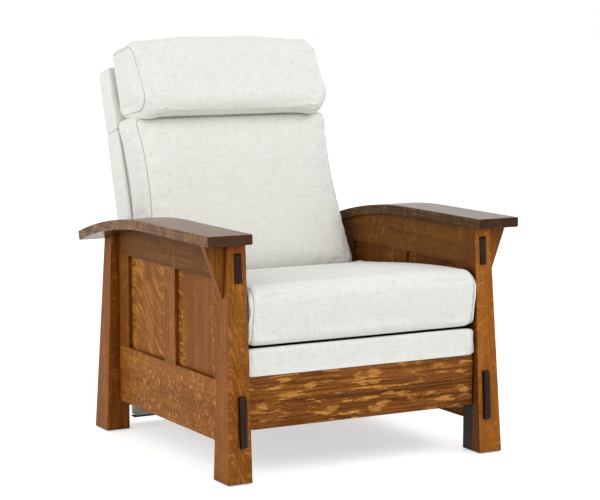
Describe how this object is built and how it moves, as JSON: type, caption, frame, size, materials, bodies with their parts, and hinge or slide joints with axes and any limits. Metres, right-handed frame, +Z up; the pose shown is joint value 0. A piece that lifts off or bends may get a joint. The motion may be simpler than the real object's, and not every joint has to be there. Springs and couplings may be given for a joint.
{
  "type": "recliner armchair",
  "caption": "Mission-style wooden recliner armchair with panelled sides, bent arms, loose box cushions, a bolster headrest and a fold-out footrest.",
  "frame": {"origin": "centre of the footprint box on the floor, under the glides", "axes": "+Z up, -Y the way the sitter faces, +X to the sitter's left"},
  "size_m": [0.88, 0.9763, 1.0505],
  "materials": {
    "oak": "quartersawn white oak, medium brown stain, satin lacquer",
    "arm_oak": "quartersawn white oak, darker stain, satin lacquer",
    "ebony": "near-black stained hardwood plugs",
    "frame_wood": "plain hardwood and plywood, unfinished",
    "black_wood": "hardwood, painted matt black",
    "linen": "off-white slubby linen weave",
    "webbing": "black elastic webbing and dust cloth",
    "steel": "dark zinc-plated steel",
    "nylon": "black nylon glides"
  },
  "bodies": {
    "base": {"left_front_post": "oak", "right_front_post": "oak", "left_rear_post": "oak", "right_rear_post": "oak", "left_arm": "arm_oak", "right_arm": "arm_oak", "left_top_rail": "oak", "right_top_rail": "oak", "left_bottom_rail": "oak", "right_bottom_rail": "oak", "left_front_stile": "oak", "left_mid_stile": "oak", "left_rear_stile": "oak", "right_front_stile": "oak", "right_mid_stile": "oak", "right_rear_stile": "oak", "left_front_panel": "oak", "left_rear_panel": "oak", "right_front_panel": "oak", "right_rear_panel": "oak", "left_corbel": "oak", "right_corbel": "oak", "upper_plugs": "ebony", "lower_plugs": "ebony", "floor_glides": "nylon", "base_side_rails": "frame_wood", "slide_tracks": "steel", "front_stretcher": "frame_wood", "rear_stretcher": "frame_wood", "rear_apron": "linen", "apron_edge": "webbing"},
    "seat": {"seat_side_plates": "steel", "seat_flanges": "steel", "guide_pins": "steel", "seat_side_rails": "black_wood", "seat_cross_rails": "black_wood", "seat_webbing": "webbing", "seat_cushion": "linen"},
    "drive": {"drive_links": "steel"},
    "cross": {"cross_links": "steel"},
    "lift": {"lift_links": "steel"},
    "reach": {"reach_links": "steel"},
    "steady": {"steady_links": "steel"},
    "footrest": {"footrest_brackets": "steel", "footrest_board": "black_wood", "footrest_pad": "linen", "fascia_rail": "oak"},
    "back": {"back_stiles": "frame_wood", "back_rails": "frame_wood", "back_webbing": "webbing", "back_pad": "linen", "recline_brackets": "steel", "recline_pins": "steel", "back_panel": "linen", "left_back_side": "linen", "right_back_side": "linen", "back_hood": "linen", "back_cushion": "linen", "headrest": "linen"}
  },
  "joints": [
    {"name": "seat_slide", "type": "slide", "parent": "base", "child": "seat", "axis": [0, -1, 0], "range_m": [0, 0.0601]},
    {"name": "recline", "type": "hinge", "parent": "seat", "child": "back", "pos_m": [0, 0.16251, 0.32], "axis": [-1, 0, 0], "range_deg": [0, 28]},
    {"name": "footrest_swing", "type": "hinge", "parent": "seat", "child": "drive", "pos_m": [0, -0.36999, 0.29], "axis": [-1, 0, 0], "range_deg": [0, 80]},
    {"name": "cross_pivot", "type": "hinge", "parent": "drive", "child": "cross", "pos_m": [0, -0.37731, 0.20632], "axis": [-1, 0, 0], "range_deg": [-160, 0]},
    {"name": "lift_pivot", "type": "hinge", "parent": "drive", "child": "lift", "pos_m": [0, -0.38463, 0.12264], "axis": [-1, 0, 0], "range_deg": [-160, 0]},
    {"name": "reach_pivot", "type": "hinge", "parent": "lift", "child": "reach", "pos_m": [0, -0.39195, 0.20632], "axis": [-1, 0, 0], "range_deg": [0, 160]},
    {"name": "steady_pivot", "type": "hinge", "parent": "reach", "child": "steady", "pos_m": [0, -0.39927, 0.12264], "axis": [-1, 0, 0], "range_deg": [-160, 0]},
    {"name": "board_pivot", "type": "hinge", "parent": "steady", "child": "footrest", "pos_m": [0, -0.40659, 0.20632], "axis": [-1, 0, 0], "range_deg": [0, 160]}
  ],
  "couplings": [
    {"joint": "seat_slide", "follows": "recline", "m_per_rad": 0.12278},
    {"joint": "cross_pivot", "follows": "footrest_swing", "ratio": -2},
    {"joint": "lift_pivot", "follows": "footrest_swing", "ratio": -2},
    {"joint": "reach_pivot", "follows": "footrest_swing", "ratio": 2},
    {"joint": "steady_pivot", "follows": "footrest_swing", "ratio": -2},
    {"joint": "board_pivot", "follows": "footrest_swing", "ratio": 2}
  ]
}
